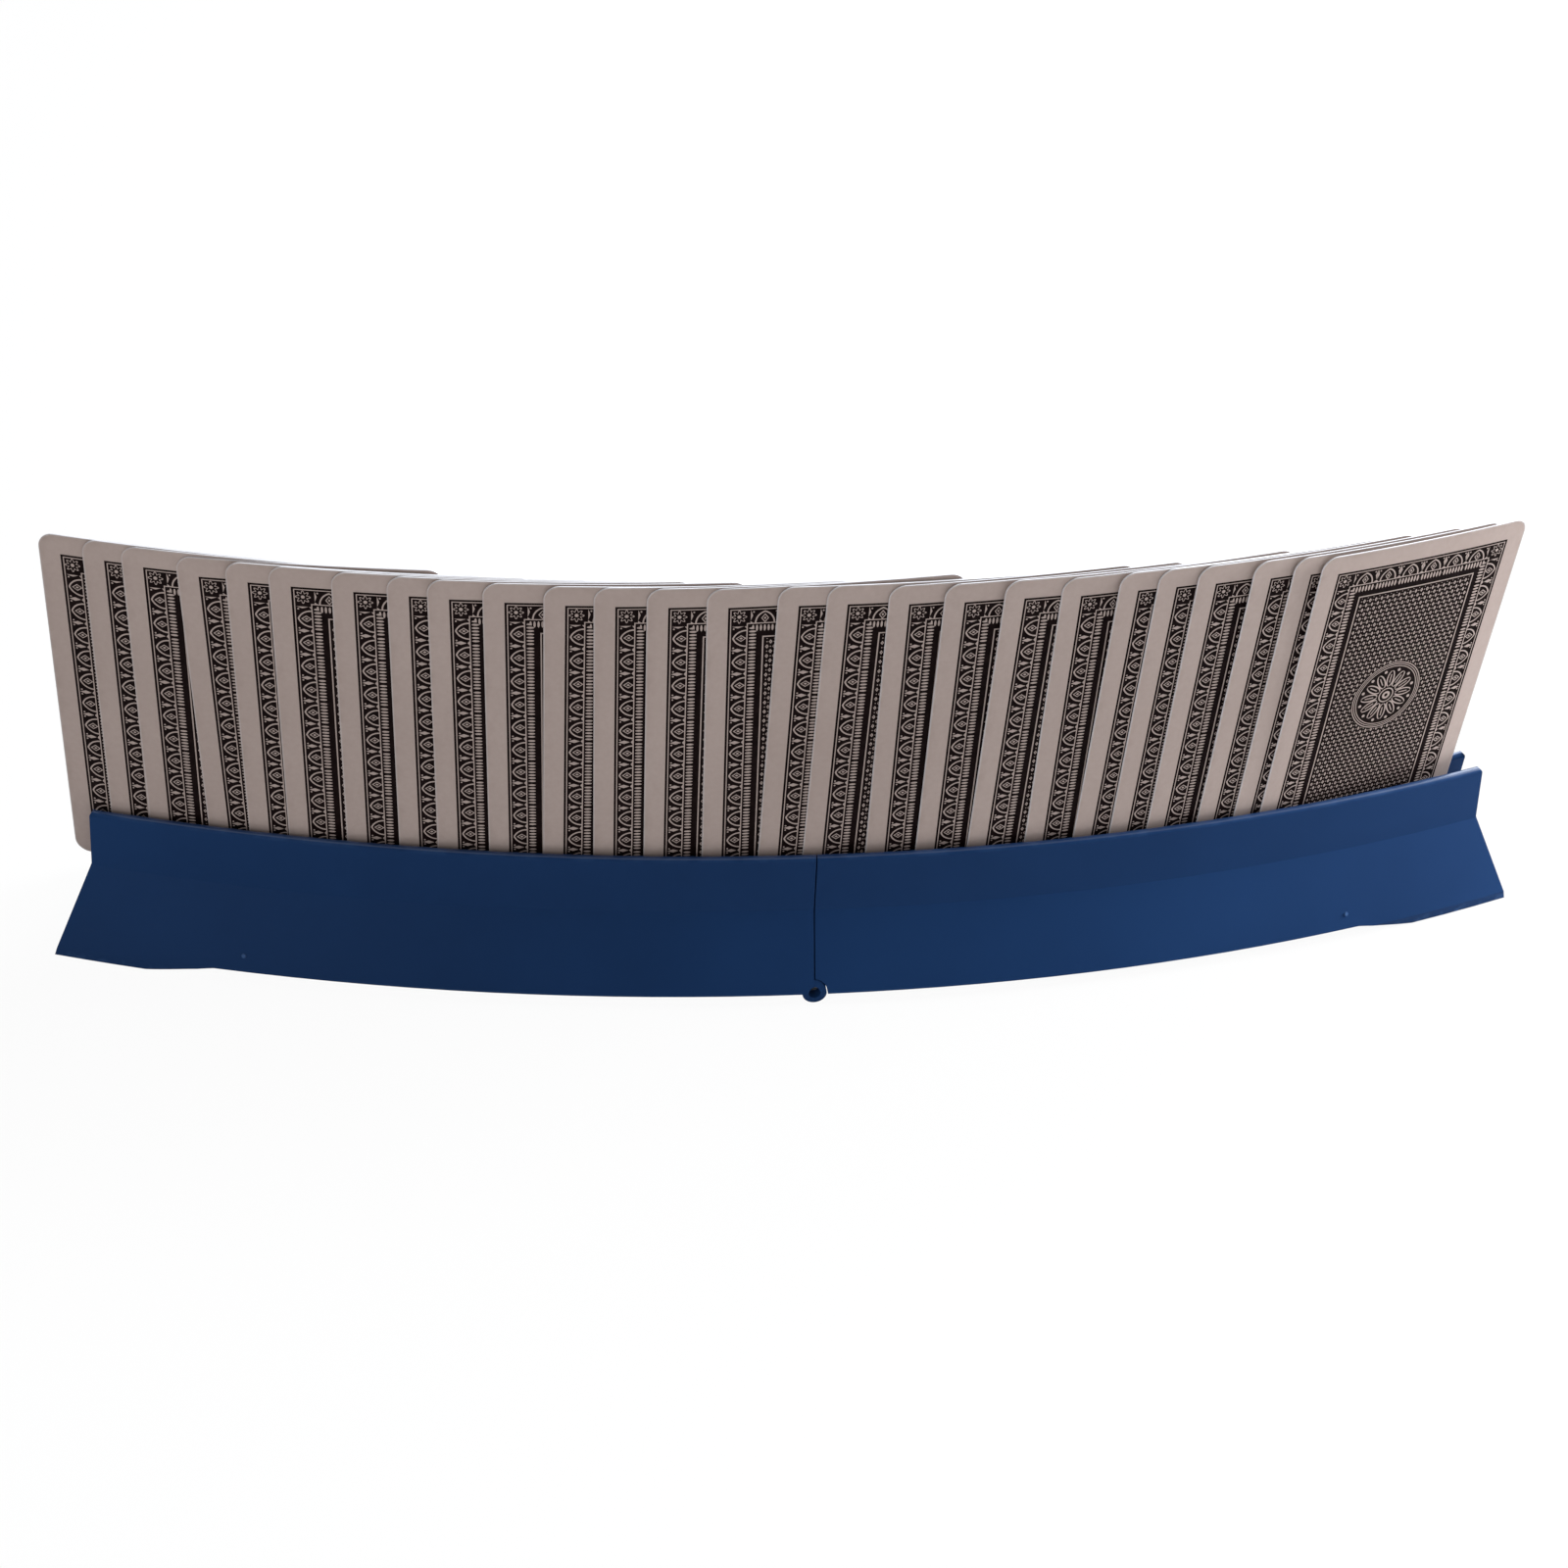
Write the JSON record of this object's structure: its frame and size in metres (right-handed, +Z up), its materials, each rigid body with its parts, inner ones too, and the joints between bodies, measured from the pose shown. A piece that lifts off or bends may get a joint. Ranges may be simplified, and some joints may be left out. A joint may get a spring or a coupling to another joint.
{
  "type": "playing card holder",
  "caption": "Curved table-top holder that keeps a fanned hand of playing cards upright in one long slot and folds in half on a hinge.",
  "frame": {"origin": "on the table, under the centre of the overall box", "axes": "+X along the holder to the right as seen from the outer side of its curve, -Y towards that outer side, +Z up"},
  "size_m": [0.3604, 0.0623, 0.1075],
  "materials": {
    "holder_plastic": "satin",
    "pin_steel": "satin",
    "card_stock": "satin"
  },
  "bodies": {
    "left": {"left_half": "holder_plastic", "hinge_pin": "pin_steel", "card_01": "card_stock", "card_02": "card_stock", "card_03": "card_stock", "card_04": "card_stock", "card_05": "card_stock", "card_06": "card_stock", "card_07": "card_stock", "card_08": "card_stock", "card_09": "card_stock", "card_10": "card_stock", "card_11": "card_stock", "card_12": "card_stock", "card_13": "card_stock"},
    "right": {"right_half": "holder_plastic", "card_14": "card_stock", "card_15": "card_stock", "card_16": "card_stock", "card_17": "card_stock", "card_18": "card_stock", "card_19": "card_stock", "card_20": "card_stock", "card_21": "card_stock", "card_22": "card_stock", "card_23": "card_stock", "card_24": "card_stock", "card_25": "card_stock", "card_26": "card_stock"}
  },
  "joints": [
    {"name": "fold", "type": "hinge", "parent": "left", "child": "right", "pos_m": [-0.00317, -0.01406, 0.0029], "axis": [0, 1, 0], "range_deg": [0, 177]}
  ]
}
